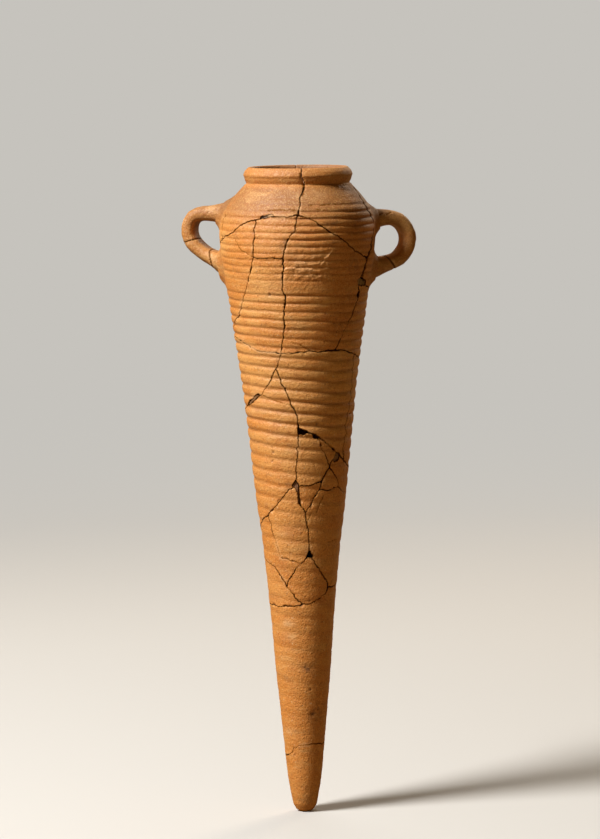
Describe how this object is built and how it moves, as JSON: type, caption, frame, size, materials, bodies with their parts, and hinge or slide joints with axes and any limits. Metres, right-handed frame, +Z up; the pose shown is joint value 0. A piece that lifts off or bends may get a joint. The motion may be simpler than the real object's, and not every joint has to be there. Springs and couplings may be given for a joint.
{
  "type": "transport amphora",
  "caption": "Small ribbed pottery transport jar with a tapering body, rolled lip, two loop handles on the shoulder and a pointed foot, put together from sherds",
  "frame": {"origin": "middle of the small flat under the pointed foot, where the stand holds it", "axes": "+Z up along the jar's axis, front towards -Y, handles to both sides along X and turned a little to the back"},
  "size_m": [0.1887, 0.1246, 0.52],
  "materials": {
    "sherd_clay": "matte",
    "handle_clay": "matte",
    "mortar": "matte"
  },
  "bodies": {
    "root": {"rim_sherd_left": "sherd_clay", "rim_sherd_front": "sherd_clay", "rim_sherd_right": "sherd_clay", "rim_sherd_back": "sherd_clay", "rim_sherd_back_small": "sherd_clay", "shoulder_sherd_left": "sherd_clay", "shoulder_sherd_front_left": "sherd_clay", "shoulder_sherd_inner_left": "sherd_clay", "shoulder_sherd_front": "sherd_clay", "shoulder_sherd_right": "sherd_clay", "waist_sherd_left": "sherd_clay", "waist_sherd_front": "sherd_clay", "waist_sherd_right": "sherd_clay", "middle_sherd_left": "sherd_clay", "middle_sherd_front": "sherd_clay", "middle_sherd_front_small": "sherd_clay", "middle_sherd_right": "sherd_clay", "middle_sherd_right_small": "sherd_clay", "middle_sherd_wedge": "sherd_clay", "lower_sherd_right": "sherd_clay", "lower_sherd_front": "sherd_clay", "lower_sherd_left": "sherd_clay", "lower_sherd_left_small": "sherd_clay", "lower_sherd_front_small": "sherd_clay", "spike_sherd": "sherd_clay", "spike_tip": "sherd_clay", "left_handle_arm": "handle_clay", "left_handle_bend": "handle_clay", "left_handle_stub": "handle_clay", "right_handle_arm": "handle_clay", "right_handle_stub": "handle_clay", "mortar_collar": "mortar", "mortar_shoulder": "mortar", "mortar_waist": "mortar", "mortar_left": "mortar", "mortar_middle": "mortar"}
  },
  "joints": []
}
